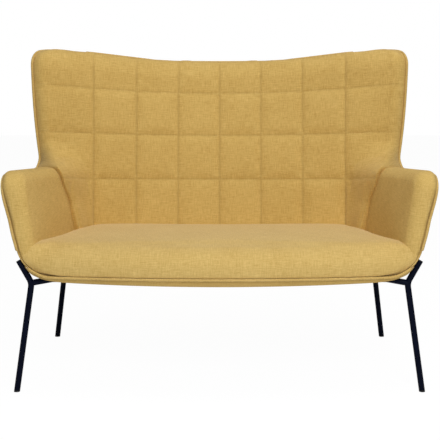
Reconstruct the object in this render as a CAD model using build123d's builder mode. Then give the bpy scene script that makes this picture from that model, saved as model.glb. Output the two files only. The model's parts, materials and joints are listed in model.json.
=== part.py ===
from build123d import *
from math import asin, cos, degrees, hypot, radians, sin, sqrt, tan
import os

# A two-seater sofa with a winged, quilted back on four splayed tube legs, in millimetres.
# X runs across the width, Y from the front to the back and Z up from the floor.
# The origin is on the floor under the middle of the overall box.

# Overall
overall_depth = 790.0
front_face = -overall_depth / 2
overrun = 40.0
clearance = 0.3

# Outside of the upholstered shell: plan outlines at three heights above the floor
underside_z = 357.0
underside_half_width = 579.0
underside_depth = 695.0
underside_bow = 2400.0
underside_corner = 130.0
arm_level_z = 600.0
arm_level_half_width = 636.0
arm_level_depth = 712.0
arm_level_bow = 1700.0
arm_level_corner = 140.0
crown_level_z = 1040.0
crown_level_half_width = 668.0
crown_level_depth = 802.0
crown_level_bow = 970.0
crown_level_corner = 150.0
shell_side_angle = 4.1
lower_round = 105.0
front_bow = 3400.0

# Sitting hollow of the shell: plan outlines at the same heights
hollow_floor_half_width = 546.0
hollow_floor_depth = 542.0
hollow_floor_bow = 2600.0
hollow_floor_corner = 95.0
hollow_arm_half_width = 573.0
hollow_arm_depth = 613.0
hollow_arm_bow = 1600.0
hollow_arm_corner = 110.0
hollow_crown_half_width = 655.0
hollow_crown_depth = 740.0
hollow_crown_bow = 910.0
hollow_crown_corner = 120.0
hollow_side_angle = 8.5

# Side outline: arm, notch, wing and top edge
arm_front_y = -345.0
arm_front_z = 668.0
arm_rear_z = 618.0
arm_nose_round = 55.0
arm_edge_round = 34.0
arm_end_y = 100.0
notch_y = 144.0
notch_round = 24.0
wing_top_y = 154.0
wing_top_z = 1040.0
wing_round = 80.0
top_fall = 0.31

# Layers of the upholstery, from the outside in
outer_cover = 3.5
frame_thickness = 18.0
inner_cover = 4.0
quilt_thickness = 20.0
piping_width = 7.0
piping_stand = 1.5
rail_drop = 22.0

# Quilting of the back: a seat line, three channels, a roll over the top and the side ends
seat_line_z = 400.0
seat_line_y = 160.5
quilt_foot_bow = 2500.0
quilt_head_z = 987.0
quilt_head_y = 329.5
quilt_head_bow = 915.0
quilt_foot_tilt = 6.0
quilt_head_tilt = 16.4
channel_depth = 7.0
column_width = 141.0
column_count = 8
flat_share = 0.3
roll_depth = 46.0
roll_height_shares = (0.784, 0.88, 0.93, 0.97, 1.0)
roll_puff_shares = (0.0, 1.0, 0.8, 0.5, 0.2)
roll_recess_shares = (0.0, 0.0, 0.08, 0.35, 1.0)
row_shares = (0.0, 0.295, 0.543, roll_height_shares[0])
wing_thickness = 55.0
wing_bulge = 9.0
crest_share = 0.45
arm_thickness = 97.0

# Seat
seat_crown_z = 453.0
seat_rear_z = 420.0
seat_middle_rise = 6.0
seat_front_round = 62.0
seat_front_z = 376.0
front_pad = 12.0
seat_depth = 590.0

# Lower border of the front
border_drop = 24.0
border_depth = 14.0
border_round = 9.0
border_end_rise = 6.0
border_half_width = 424.0
border_end_z = 404.0
border_end_half_width = 588.0
border_shoulder_half_width = 530.0

# Wooden base
rail_width = 25.0
rail_height = 24.0
panel_thickness = 12.0
side_rail_x = 437.0
rear_rail_y = 184.0
corner_block = 110.0
vent_radius = 20.0
vent_step = 190.0
vents_across = 4
vents_deep = 2
underside_half_opening = 462.0
underside_rear_y = 200.0
dust_sheet = 1.0

# Back and arm frames
post_width = 40.0
top_rail_height = 55.0
lower_rail_height = 60.0
arm_window_margin = 45.0
arm_window_top_z = 570.0
upright_x = 220.0
wing_frame_x = 455.0
strap_width = 50.0
strap_thickness = 1.4
strap_step = 96.0
strap_count = 9

# Legs and their fixings
tube_radius = 9.0
tube_wall = 1.5
bend_radius = 40.0
front_foot_x = 610.0
front_foot_y = -320.0
front_knee_x = 556.0
rear_foot_x = 577.0
rear_foot_y = 277.0
rear_knee_x = 520.0
rear_knee_y = 170.0
knee_z = 335.0
arm_tip_out = 35.0
arm_tip_up = 66.0
glide_height = 6.0
crossbar_end = 62.0
plate_length = 70.0
plate_width = 56.0
plate_thickness = 3.5
plate_x = 415.0
bolt_radius = 4.0
bolt_head_radius = 7.0
bolt_head = 4.5
bolt_socket = 3.5
bolt_out = 17.0
washer_radius = 9.0
washer_thickness = 1.5
nut_radius = 10.0
nut_flange = 1.5
nut_sleeve = 5.5
nut_length = 9.0
plug_length = 12.0
plug_cap = 2.0
plate_round = 8.0
bolt_slack = 0.5

frame_bottom = underside_z + outer_cover + clearance
deck_bottom = frame_bottom + rail_height
deck_top = deck_bottom + panel_thickness
soft_bottom = deck_top + clearance
frame_outside = outer_cover + clearance
frame_inside = frame_outside + frame_thickness
piping_inside = piping_width - piping_stand
bow_centre_y = front_face + front_bow
dust_bottom = frame_bottom - clearance - dust_sheet
plate_bottom = dust_bottom - clearance - plate_thickness
bar_z = plate_bottom - clearance - tube_radius
foam_edge = inner_cover + clearance


def corner_centre(point, toward, inward, middle, arc_radius, radius):
    """Centre of the round that touches a line inside and an arc inside."""
    across = point[0] + inward[0] * radius - middle[0]
    along = point[1] + inward[1] * radius - middle[1]
    half = across * toward[0] + along * toward[1]
    rest = across ** 2 + along ** 2 - (arc_radius - radius) ** 2
    step = sqrt(half ** 2 - rest) - half
    return (middle[0] + across + toward[0] * step, middle[1] + along + toward[1] * step)


def toward_point(centre, point, radius):
    """Point of a circle on the ray from its centre through another point."""
    across, along = point[0] - centre[0], point[1] - centre[1]
    share = radius / hypot(across, along)
    return (centre[0] + across * share, centre[1] + along * share)


def mirrored(point):
    return (-point[0], point[1])


def plan(height, half_width, depth, bow, corner, side_angle, inset):
    """U-shaped plan outline, open to the front: sides, rounded rear corners and bowed back."""
    turn = radians(side_angle)
    rearward = (-sin(turn), cos(turn))
    inward = (-cos(turn), -sin(turn))
    start = (half_width + inward[0] * inset, front_face + inward[1] * inset)
    back = front_face + depth
    middle = (0, back - bow)
    centre = corner_centre(start, rearward, inward, middle, bow - inset, corner - inset)
    side_end = toward_point(centre, (centre[0] - inward[0], centre[1] - inward[1]), corner - inset)
    back_end = toward_point(middle, centre, bow - inset)
    chord = ((side_end[0] + back_end[0]) / 2, (side_end[1] + back_end[1]) / 2)
    bulge = toward_point(centre, chord, corner - inset)
    nose = (start[0] - rearward[0] * 2 * overrun, start[1] - rearward[1] * 2 * overrun)
    with BuildSketch(Plane.XY.offset(height)) as outline:
        with BuildLine():
            Line(mirrored(nose), nose)
            Line(nose, side_end)
            ThreePointArc(side_end, bulge, back_end)
            ThreePointArc(back_end, (0, back - inset), mirrored(back_end))
            ThreePointArc(mirrored(back_end), mirrored(bulge), mirrored(side_end))
            Line(mirrored(side_end), mirrored(nose))
        make_face()
    return outline.sketch


def shell_form(inset):
    """Outer body of the upholstery, smaller all round by the inset."""
    with BuildPart() as form:
        loft([
            plan(underside_z + inset, underside_half_width, underside_depth, underside_bow,
                 underside_corner, shell_side_angle, inset),
            plan(arm_level_z, arm_level_half_width, arm_level_depth, arm_level_bow,
                 arm_level_corner, shell_side_angle, inset),
            plan(crown_level_z, crown_level_half_width, crown_level_depth, crown_level_bow,
                 crown_level_corner, shell_side_angle, inset),
        ])
        lowest = form.faces().sort_by(Axis.Z)[0].edges()
        fillet(lowest.sort_by(Axis.Y)[1:], lower_round - inset)
    return form.part


def hollow_form(growth):
    """Space between the arms and the back, larger all round by the growth."""
    with BuildPart() as form:
        loft([
            plan(underside_z, hollow_floor_half_width, hollow_floor_depth, hollow_floor_bow,
                 hollow_floor_corner, hollow_side_angle, -growth),
            plan(arm_level_z, hollow_arm_half_width, hollow_arm_depth, hollow_arm_bow,
                 hollow_arm_corner, hollow_side_angle, -growth),
            plan(crown_level_z, hollow_crown_half_width, hollow_crown_depth, hollow_crown_bow,
                 hollow_crown_corner, hollow_side_angle, -growth),
        ])
    return form.part


def rim_form(inset):
    """Side outline of arm, notch, wing and top edge, carried across the whole width."""
    floor = underside_z - overrun
    rear = -front_face + overrun
    corners = {
        (arm_front_y, arm_front_z): arm_nose_round,
        (notch_y, arm_rear_z): notch_round,
        (wing_top_y, wing_top_z): wing_round,
    }
    rear_top = wing_top_z - (rear - wing_top_y) * top_fall
    with BuildPart() as form:
        with BuildSketch(Plane.YZ) as outline:
            with BuildLine():
                Polyline((arm_front_y, floor), *corners, (rear, rear_top), (rear, floor), close=True)
            make_face()
            for place, radius in corners.items():
                fillet(outline.vertices().sort_by_distance((*place, 0))[0], radius)
            if inset:
                offset(amount=-inset)
        extrude(amount=crown_level_half_width, both=True)
    return form.part


def is_inner_rim(edge, growth):
    """True for the edges where the inner arm wall meets the front, the nose and the top."""
    middle = edge @ 0.5
    wall_x = hollow_arm_half_width + growth - (middle.Y - front_face) * tan(radians(hollow_side_angle))
    on_wall = abs(middle.X - wall_x) < arm_edge_round and edge.length > arm_nose_round
    return on_wall and middle.Z > soft_bottom + overrun and middle.Y < 0


def arm_form(outside, rim_inset, growth):
    """Right arm between the shell and the hollow, its inner edge rounded over front and top."""
    with BuildPart() as form:
        add(shell_form(outside))
        add(rim_form(rim_inset), mode=Mode.INTERSECT)
        add(hollow_form(growth), mode=Mode.SUBTRACT)
        split(bisect_by=Plane.XZ.offset(-arm_end_y), keep=Keep.TOP)
        split(bisect_by=Plane.XY.offset(soft_bottom), keep=Keep.TOP)
        split(bisect_by=Plane.YZ, keep=Keep.TOP)
        rim_edges = form.edges().filter_by(lambda edge: is_inner_rim(edge, growth))
        fillet(rim_edges, arm_edge_round - growth)
    return form.part


def between(height, low, middle, high):
    """Value at a height on the parabola through the values at the three plan heights."""
    a, b, c = underside_z, arm_level_z, crown_level_z
    return (low * (height - b) * (height - c) / ((a - b) * (a - c))
            + middle * (height - a) * (height - c) / ((b - a) * (b - c))
            + high * (height - a) * (height - b) / ((c - a) * (c - b)))


def quilt_section(share, puff, recess):
    """Outline across the quilted back: one arc per column and a rounded end at each wing."""
    centre_y = seat_line_y + (quilt_head_y - seat_line_y) * share
    centre_z = seat_line_z + (quilt_head_z - seat_line_z) * share
    tilt = radians(quilt_foot_tilt + (quilt_head_tilt - quilt_foot_tilt) * share)
    bow = 1 / (1 / quilt_foot_bow + (1 / quilt_head_bow - 1 / quilt_foot_bow) * share)
    below_top = (quilt_head_z - seat_line_z) * (1 - share)
    reach = max(wing_round - below_top, 0)
    corner_recess = wing_round - sqrt(wing_round ** 2 - reach ** 2)

    def sunk(across):
        return sqrt(bow ** 2 - across ** 2) - bow + recess

    wing_z = centre_z + (centre_y - notch_y) * tan(tilt)
    beside_arm = wing_z < arm_rear_z + notch_round
    slope = (wing_top_y - notch_y) / (wing_top_z - arm_rear_z)
    front_y = arm_end_y + clearance if beside_arm else notch_y + (wing_z - arm_rear_z) * slope
    outer = between(wing_z, underside_half_width, arm_level_half_width, crown_level_half_width)
    outer -= (front_y - front_face) * tan(radians(shell_side_angle))
    thickness = arm_thickness if beside_arm else wing_thickness
    bulge = 0 if beside_arm else wing_bulge
    end = (front_y - centre_y) / cos(tilt) + corner_recess
    inner_end = (outer - thickness, end + (clearance if beside_arm else -bulge / 4))
    outer_end = (outer, end)
    crest = (outer - thickness * crest_share, end - bulge)
    starts = [(column_width * column, sunk(column_width * column) + channel_depth)
              for column in range(column_count // 2)]
    starts.append(inner_end)
    tilted = Plane((0, centre_y, centre_z), x_dir=(1, 0, 0), z_dir=(0, sin(tilt), cos(tilt)))
    with BuildSketch(tilted) as outline:
        with BuildLine():
            for left, right in zip(starts, starts[1:]):
                across = (left[0] + right[0]) / 2
                level = (left[1] + right[1]) / 2 if right is inner_end else sunk(across) + channel_depth
                swell = channel_depth * (puff + (1 - puff) * flat_share)
                crown = (across, level - swell)
                ThreePointArc(left, crown, right)
                ThreePointArc(mirrored(left), mirrored(crown), mirrored(right))
            ThreePointArc(inner_end, crest, outer_end)
            ThreePointArc(mirrored(inner_end), mirrored(crest), mirrored(outer_end))
            behind = (outer, overall_depth / 2)
            Polyline(outer_end, behind, mirrored(behind), mirrored(outer_end))
        make_face()
    return outline.sketch


def quilt_form():
    """Body of the quilted back: four rows of pads, lofted row by row between the channels."""
    with BuildPart() as form:
        for low, high in zip(row_shares, row_shares[1:]):
            middle = (low + high) / 2
            loft([quilt_section(low, 0, 0), quilt_section(middle, 1, 0), quilt_section(high, 0, 0)])
        loft([quilt_section(height, puff, roll_depth * recess)
              for height, puff, recess in zip(roll_height_shares, roll_puff_shares, roll_recess_shares)])
    return form.part


def ring_sector(points_of_profile):
    """Solid with a profile (depth behind the front, height) carried along the bowed front."""
    half_turn = degrees(asin(crown_level_half_width / (front_bow - overrun)))
    aim = radians(-half_turn)
    start = Plane((0, bow_centre_y, 0), x_dir=(sin(aim), -cos(aim), 0), z_dir=(-cos(aim), -sin(aim), 0))
    with BuildPart() as form:
        with BuildSketch(start):
            with BuildLine():
                points_of_profile()
            make_face()
        revolve(axis=Axis((0, bow_centre_y, 0), (0, 0, 1)), revolution_arc=2 * half_turn)
    return form.part


def block_behind_front(near, far, low, high):
    """Band of rectangular section behind the bowed front."""

    def profile():
        Polyline((front_bow - near, low), (front_bow - near, high), (front_bow - far, high),
                 (front_bow - far, low), close=True)

    return ring_sector(profile)


def seat_form(inset):
    """Bench seat: rolled front, crowned top and a front pad that hangs before the rail."""
    nose = front_bow - inset
    crown = (front_bow - seat_front_round, seat_crown_z - inset)
    rear = (front_bow - seat_depth, seat_rear_z - inset)
    turn_z = seat_front_z + (crown[1] - seat_front_z) * sqrt(1 / 2)
    turn = (nose - seat_front_round * (1 - sqrt(1 / 2)), turn_z)
    middle = ((crown[0] + rear[0]) / 2, (crown[1] + rear[1]) / 2 + seat_middle_rise)
    pad = front_bow - front_pad

    def profile():
        Line((nose, underside_z), (nose, seat_front_z))
        ThreePointArc((nose, seat_front_z), turn, crown)
        ThreePointArc(crown, middle, rear)
        Polyline(rear, (rear[0], soft_bottom), (pad, soft_bottom), (pad, underside_z), (nose, underside_z))

    return ring_sector(profile)


def keep(piece, label):
    """Label a finished piece and write it."""
    piece.part.label = label
    export_step(piece.part, "parts/" + label + ".step")


def keep_pair(piece, label):
    """Write a right-hand piece and its mirror image."""
    with BuildPart() as other:
        mirror(piece.part, about=Plane.YZ)
    keep(piece, label + "_right")
    keep(other, label + "_left")


os.makedirs("parts", exist_ok=True)
shell = shell_form(0)
cover_core = shell_form(outer_cover)
frame_shell = shell_form(frame_outside)
foam_shell = shell_form(frame_inside + clearance)
trim_shell = shell_form(piping_inside)
rim_inner = rim_form(piping_inside + clearance)
frame_rim = rim_form(rail_drop)
quilt = quilt_form()
behind_arms = Plane.XZ.offset(-arm_end_y - clearance)
before_back = Plane.XZ.offset(-arm_end_y)
deck = Plane.XY.offset(deck_top)
floor_of_soft = Plane.XY.offset(soft_bottom)

# Outside covers, wrapped under the edge of the frame and open underneath
with BuildPart() as outside_cover:
    add(shell)
    add(cover_core, mode=Mode.SUBTRACT)
    add(rim_inner, mode=Mode.INTERSECT)
    with BuildSketch(Plane.XY.offset(underside_z - overrun)):
        with Locations((0, underside_rear_y - overall_depth / 2)):
            Rectangle(2 * underside_half_opening, overall_depth)
    extrude(amount=2 * overrun, mode=Mode.SUBTRACT)
with BuildPart() as outside_back_cover:
    add(outside_cover.part)
    split(bisect_by=behind_arms, keep=Keep.BOTTOM)
with BuildPart() as outside_arm_cover:
    add(outside_cover.part)
    split(bisect_by=before_back, keep=Keep.TOP)
    split(bisect_by=Plane.YZ, keep=Keep.TOP)
keep(outside_back_cover, "outside_back_cover")
keep_pair(outside_arm_cover, "outside_arm_cover")

# Arm covers and foam
with BuildPart() as frame_zone:
    add(rim_form(rail_drop - clearance))
    add(foam_shell, mode=Mode.SUBTRACT)
with BuildPart() as arm_cover:
    add(arm_form(piping_inside, 0, 0))
    add(arm_form(0, inner_cover, inner_cover), mode=Mode.SUBTRACT)
with BuildPart() as arm_foam:
    add(arm_form(piping_inside, foam_edge, foam_edge))
    add(frame_zone.part, mode=Mode.SUBTRACT)
keep_pair(arm_cover, "arm_cover")
keep_pair(arm_foam, "arm_foam")

# Quilted back cover and the foam behind it
with BuildPart() as back_core:
    add(rim_form(quilt_thickness))
    add(hollow_form(quilt_thickness), mode=Mode.SUBTRACT)
with BuildPart() as quilted_back_cover:
    add(quilt)
    add(trim_shell, mode=Mode.INTERSECT)
    add(back_core.part, mode=Mode.SUBTRACT)
with BuildPart() as back_foam:
    add(shell_form(frame_inside + 2 * clearance + strap_thickness))
    add(rim_form(quilt_thickness + clearance), mode=Mode.INTERSECT)
    add(hollow_form(quilt_thickness + clearance), mode=Mode.SUBTRACT)
    split(bisect_by=behind_arms, keep=Keep.BOTTOM)
    split(bisect_by=floor_of_soft, keep=Keep.TOP)
keep(quilted_back_cover, "quilted_back_cover")
keep(back_foam, "back_foam")

# Seat cover and foam
seat_gap = Location((0, -2 * clearance, 0))
with BuildPart() as seat_room:
    add(hollow_form(-clearance))
    add(trim_shell, mode=Mode.INTERSECT)
    add(quilt.moved(seat_gap), mode=Mode.SUBTRACT)
with BuildPart() as seat_cover:
    add(seat_form(0))
    add(seat_form(inner_cover), mode=Mode.SUBTRACT)
    add(seat_room.part, mode=Mode.INTERSECT)
with BuildPart() as seat_foam:
    add(seat_form(foam_edge))
    add(seat_room.part, mode=Mode.INTERSECT)
keep(seat_cover, "seat_cover")
keep(seat_foam, "seat_foam")

# Piping round the rim of the shell and along the front
with BuildPart() as rim_piping:
    add(shell_form(-piping_stand))
    add(rim_form(-piping_stand), mode=Mode.INTERSECT)
    add(shell_form(piping_inside - clearance), mode=Mode.SUBTRACT)
    add(rim_form(piping_inside - clearance), mode=Mode.SUBTRACT)
    with BuildSketch(Plane.XY.offset(underside_z - overrun)):
        Rectangle(2 * (underside_half_opening + overrun), overall_depth + 2 * overrun)
    extrude(amount=2 * overrun, mode=Mode.SUBTRACT)
keep(rim_piping, "rim_piping")

with BuildPart() as front_piping:
    add(block_behind_front(-piping_stand, piping_inside - clearance, underside_z - overrun, arm_level_z))
    add(shell_form(-piping_stand), mode=Mode.INTERSECT)
    add(shell_form(piping_inside - clearance), mode=Mode.SUBTRACT)
    add(rim_form(-piping_stand - clearance), mode=Mode.SUBTRACT)
keep(front_piping, "front_piping")

# Border that hangs below the front piping, rounded along its lower front edge
border_bottom = underside_z - border_drop
border_tip = (border_end_half_width, border_end_z)
border_shoulder = (border_shoulder_half_width, underside_z)
border_end = (border_half_width, border_bottom + border_end_rise)
with BuildPart() as front_border:
    add(block_behind_front(piping_stand, border_depth, border_bottom, border_end_z))
    front_edges = front_border.edges().group_by(Axis.Z)[0]
    fillet(front_edges.sort_by(lambda edge: edge.length)[-1], border_round)
    with BuildSketch(Plane.XZ):
        with BuildLine():
            ThreePointArc(mirrored(border_end), (0, border_bottom), border_end)
            ThreePointArc(border_end, border_shoulder, border_tip)
            Line(border_tip, mirrored(border_tip))
            ThreePointArc(mirrored(border_tip), mirrored(border_shoulder), mirrored(border_end))
        make_face()
    extrude(amount=overall_depth, both=True, mode=Mode.INTERSECT)
    add(shell_form(-piping_stand - clearance), mode=Mode.SUBTRACT)
    add(rim_form(-piping_stand - clearance), mode=Mode.SUBTRACT)
keep(front_border, "front_border")

# Wooden base: bowed front rail, side, centre and rear rails, corner blocks and panel
front_rail_near = front_pad + clearance
front_rail_far = front_rail_near + rail_width
side_rail_outside = side_rail_x + rail_width / 2
inner_half_width = side_rail_x - rail_width / 2 - clearance
side_rail_front = bow_centre_y - sqrt((front_bow - front_rail_near) ** 2 - side_rail_outside ** 2)
rear_rail_back = rear_rail_y + rail_width / 2
rear_rail_front = rear_rail_y - rail_width / 2
centre_rail_front = front_face + front_rail_far + clearance
centre_rail_rear = rear_rail_front - clearance
bolt_spots = [(side * (plate_x + out * bolt_out), plate_y - way * out * bolt_out)
              for plate_y, way in ((front_foot_y, 1), (rear_knee_y, -1))
              for side in (1, -1)
              for out in (1, -1)]
with BuildPart() as seat_front_rail:
    add(block_behind_front(front_rail_near, front_rail_far, frame_bottom, deck_bottom))
    with BuildSketch(Plane.XY.offset(frame_bottom)):
        Rectangle(2 * inner_half_width, 2 * overall_depth)
    extrude(amount=rail_height, mode=Mode.INTERSECT)
with BuildPart() as seat_side_rail:
    with BuildSketch(Plane.XY.offset(frame_bottom)):
        with Locations((side_rail_x, (side_rail_front + rear_rail_back) / 2)):
            Rectangle(rail_width, rear_rail_back - side_rail_front)
        with Locations(*bolt_spots):
            Circle(bolt_radius + bolt_slack, mode=Mode.SUBTRACT)
    extrude(amount=rail_height)
with BuildPart() as seat_rear_rail:
    with BuildSketch(Plane.XY.offset(frame_bottom)):
        with Locations((0, rear_rail_y)):
            Rectangle(2 * inner_half_width, rail_width)
    extrude(amount=rail_height)
with BuildPart() as seat_centre_rail:
    with BuildSketch(Plane.XY.offset(frame_bottom)):
        with Locations((0, (centre_rail_front + centre_rail_rear) / 2)):
            Rectangle(rail_width, centre_rail_rear - centre_rail_front)
    extrude(amount=rail_height)
with BuildPart() as corner_blocks:
    with BuildSketch(Plane.XY.offset(frame_bottom)):
        for side in (1, -1):
            for corner_y, way in ((side_rail_front, 1), (centre_rail_rear, -1)):
                with BuildLine():
                    Polyline((side * inner_half_width, corner_y),
                             (side * (inner_half_width - corner_block), corner_y),
                             (side * inner_half_width, corner_y + way * corner_block), close=True)
                make_face()
        with Locations(*bolt_spots):
            Circle(bolt_radius + bolt_slack, mode=Mode.SUBTRACT)
    extrude(amount=rail_height)
    add(block_behind_front(0, front_rail_far + clearance, frame_bottom, deck_bottom), mode=Mode.SUBTRACT)
with BuildPart() as base_panel:
    add(block_behind_front(front_rail_near, overall_depth, deck_bottom, deck_top))
    add(frame_shell, mode=Mode.INTERSECT)
    with BuildSketch(Plane.XY.offset(deck_bottom)):
        with GridLocations(vent_step, vent_step, vents_across, vents_deep):
            Circle(vent_radius)
        with Locations(*bolt_spots):
            Circle(nut_sleeve + bolt_slack)
    extrude(amount=panel_thickness, mode=Mode.SUBTRACT)
    with BuildSketch(Plane.XY.offset(deck_top - nut_flange)):
        with Locations(*bolt_spots):
            Circle(nut_radius + bolt_slack)
    extrude(amount=panel_thickness, mode=Mode.SUBTRACT)
with BuildPart() as dust_cover:
    add(block_behind_front(front_pad, overall_depth, dust_bottom, dust_bottom + dust_sheet))
    with BuildSketch(Plane.XY.offset(dust_bottom)):
        with Locations((0, underside_rear_y - clearance - overall_depth / 2)):
            Rectangle(2 * (underside_half_opening - clearance), overall_depth)
        with Locations(*bolt_spots):
            Circle(bolt_radius + bolt_slack, mode=Mode.SUBTRACT)
    extrude(amount=dust_sheet, mode=Mode.INTERSECT)
keep(seat_front_rail, "seat_front_rail")
keep_pair(seat_side_rail, "seat_side_rail")
keep(seat_rear_rail, "seat_rear_rail")
keep(seat_centre_rail, "seat_centre_rail")
keep(corner_blocks, "corner_blocks")
keep(base_panel, "base_panel")
keep(dust_cover, "dust_cover")

# Arm and back frames, cut from one bent layer that stands on the panel
with BuildPart() as frame_layer:
    add(frame_shell)
    add(frame_rim, mode=Mode.INTERSECT)
    add(shell_form(frame_inside), mode=Mode.SUBTRACT)
    split(bisect_by=deck, keep=Keep.TOP)
inner_rim = rim_form(rail_drop + top_rail_height)
lower_rail_top = deck_top + lower_rail_height
window_low = deck_top + arm_window_margin
window_front = arm_front_y + rail_drop + arm_window_margin
window_rear = arm_end_y - arm_window_margin
with BuildPart() as arm_frame:
    add(frame_layer.part)
    add(arm_form(0, foam_edge, foam_edge), mode=Mode.INTERSECT)
    with BuildSketch(Plane.YZ):
        with BuildLine():
            Polyline((window_front, window_low), (window_front, arm_window_top_z),
                     (window_rear, arm_window_top_z - arm_window_margin), (window_rear, window_low),
                     close=True)
        make_face()
    extrude(amount=crown_level_half_width, mode=Mode.SUBTRACT)
keep_pair(arm_frame, "arm_frame")
with BuildPart() as back_layer:
    add(frame_layer.part)
    split(bisect_by=behind_arms, keep=Keep.BOTTOM)
with BuildPart() as back_lower_rail:
    add(back_layer.part)
    split(bisect_by=Plane.XY.offset(lower_rail_top), keep=Keep.BOTTOM)
keep(back_lower_rail, "back_lower_rail")
with BuildPart() as back_upper:
    add(back_layer.part)
    split(bisect_by=Plane.XY.offset(lower_rail_top + clearance), keep=Keep.TOP)
with BuildPart() as wing_frame:
    add(back_upper.part)
    add(inner_rim, mode=Mode.SUBTRACT)
    split(bisect_by=Plane.YZ.offset(wing_frame_x + clearance), keep=Keep.TOP)
keep_pair(wing_frame, "wing_frame")
with BuildPart() as back_top_rail:
    add(back_upper.part)
    add(inner_rim, mode=Mode.SUBTRACT)
    split(bisect_by=Plane.YZ.offset(wing_frame_x), keep=Keep.BOTTOM)
    split(bisect_by=Plane.YZ.offset(-wing_frame_x), keep=Keep.TOP)
keep(back_top_rail, "back_top_rail")
with BuildPart() as back_upright:
    add(back_upper.part)
    add(rim_form(rail_drop + top_rail_height + clearance), mode=Mode.INTERSECT)
    split(bisect_by=Plane.YZ.offset(upright_x - post_width / 2), keep=Keep.TOP)
    split(bisect_by=Plane.YZ.offset(upright_x + post_width / 2), keep=Keep.BOTTOM)
keep_pair(back_upright, "back_upright")
with BuildPart() as back_straps:
    add(shell_form(frame_inside + clearance))
    add(rim_form(rail_drop + top_rail_height / 2), mode=Mode.INTERSECT)
    add(shell_form(frame_inside + clearance + strap_thickness), mode=Mode.SUBTRACT)
    split(bisect_by=behind_arms, keep=Keep.BOTTOM)
    split(bisect_by=Plane.XY.offset(lower_rail_top - lower_rail_height / 2), keep=Keep.TOP)
    with BuildSketch(Plane.XY.offset(deck_top)):
        with GridLocations(strap_step, 0, strap_count, 1):
            Rectangle(strap_width, overall_depth + overrun)
    extrude(amount=crown_level_z, mode=Mode.INTERSECT)
keep(back_straps, "back_straps")

# Legs: one bent tube each, from the foot through the knee to the arm that hugs the shell
tube_bore = tube_radius - tube_wall
bends = {
    "front": (Vector(front_foot_x, front_foot_y, 0), Vector(front_knee_x, front_foot_y, knee_z)),
    "rear": (Vector(rear_foot_x, rear_foot_y, 0), Vector(rear_knee_x, rear_knee_y, knee_z)),
}
for place, (foot, knee) in bends.items():
    tip = knee + Vector(arm_tip_out, 0, arm_tip_up)
    foot_plane = Plane(foot, z_dir=knee - foot).offset(-tube_radius)
    tip_plane = Plane(tip, z_dir=tip - knee)
    with BuildPart() as leg_room:
        with BuildLine() as leg_route:
            FilletPolyline(foot_plane.origin, knee, tip, radius=bend_radius)
        with BuildSketch(foot_plane):
            Circle(tube_radius + clearance)
        sweep(path=leg_route.line)
    with BuildPart() as leg:
        with BuildSketch(foot_plane):
            Circle(tube_radius)
            Circle(tube_bore, mode=Mode.SUBTRACT)
        sweep(path=leg_route.line)
        split(bisect_by=Plane.XY.offset(glide_height), keep=Keep.TOP)
    with BuildPart() as foot_glide:
        with BuildSketch(foot_plane):
            Circle(tube_radius)
        extrude(amount=2 * tube_radius + glide_height)
        split(bisect_by=Plane.XY.offset(glide_height), keep=Keep.BOTTOM)
        with BuildSketch(foot_plane):
            Circle(tube_bore - clearance / 2)
        extrude(amount=tube_radius + glide_height + plug_length)
        split(bisect_by=Plane.XY, keep=Keep.TOP)
    with BuildPart() as end_plug:
        with BuildSketch(tip_plane):
            Circle(tube_radius)
        extrude(amount=plug_cap)
        with BuildSketch(tip_plane):
            Circle(tube_bore - clearance / 2)
        extrude(amount=-plug_length)
    with BuildPart() as crossbar:
        shoulder = Vector(knee.X - crossbar_end, knee.Y, bar_z)
        with BuildLine() as bar_route:
            FilletPolyline((-knee.X, knee.Y, knee.Z), (-shoulder.X, shoulder.Y, shoulder.Z), shoulder, knee,
                           radius=bend_radius)
        with BuildSketch(Plane(bar_route.line @ 0, z_dir=bar_route.line % 0)):
            Circle(tube_radius)
            Circle(tube_bore, mode=Mode.SUBTRACT)
        sweep(path=bar_route.line)
        add(leg_room.part, mode=Mode.SUBTRACT)
        add(mirror(leg_room.part, about=Plane.YZ, mode=Mode.PRIVATE), mode=Mode.SUBTRACT)
    with BuildPart() as mounting_plate:
        with BuildSketch(Plane.XY.offset(plate_bottom)):
            with Locations((plate_x, knee.Y)):
                RectangleRounded(plate_length, plate_width, plate_round)
            with Locations(*bolt_spots):
                Circle(bolt_radius + bolt_slack, mode=Mode.SUBTRACT)
        extrude(amount=plate_thickness)
    keep_pair(leg, place + "_leg")
    keep_pair(foot_glide, place + "_foot_glide")
    keep_pair(end_plug, place + "_end_plug")
    keep(crossbar, place + "_crossbar")
    keep_pair(mounting_plate, place + "_mounting_plate")

# Bolts with washers below the plates and tee nuts in the panel
washer_bottom = plate_bottom - washer_thickness
with BuildPart() as bolt_washers:
    with BuildSketch(Plane.XY.offset(washer_bottom)):
        with Locations(*bolt_spots):
            Circle(washer_radius)
            Circle(bolt_radius + bolt_slack, mode=Mode.SUBTRACT)
    extrude(amount=washer_thickness)
with BuildPart() as leg_bolts:
    with BuildSketch(Plane.XY.offset(washer_bottom)):
        with Locations(*bolt_spots):
            Circle(bolt_head_radius)
    extrude(amount=-bolt_head)
    with BuildSketch(Plane.XY.offset(washer_bottom - bolt_head)):
        with Locations(*bolt_spots):
            RegularPolygon(bolt_socket, 6)
    extrude(amount=bolt_head / 2, mode=Mode.SUBTRACT)
    with BuildSketch(Plane.XY.offset(washer_bottom)):
        with Locations(*bolt_spots):
            Circle(bolt_radius)
    extrude(amount=deck_top - nut_flange - washer_bottom)
with BuildPart() as tee_nuts:
    with BuildSketch(Plane.XY.offset(deck_top - nut_flange)):
        with Locations(*bolt_spots):
            Circle(nut_radius)
    extrude(amount=nut_flange)
    with BuildSketch(Plane.XY.offset(deck_top - nut_flange)):
        with Locations(*bolt_spots):
            Circle(nut_sleeve)
    extrude(amount=-nut_length)
    with BuildSketch(Plane.XY.offset(deck_top)):
        with Locations(*bolt_spots):
            Circle(bolt_radius + clearance / 2)
    extrude(amount=-nut_flange - nut_length, mode=Mode.SUBTRACT)
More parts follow.
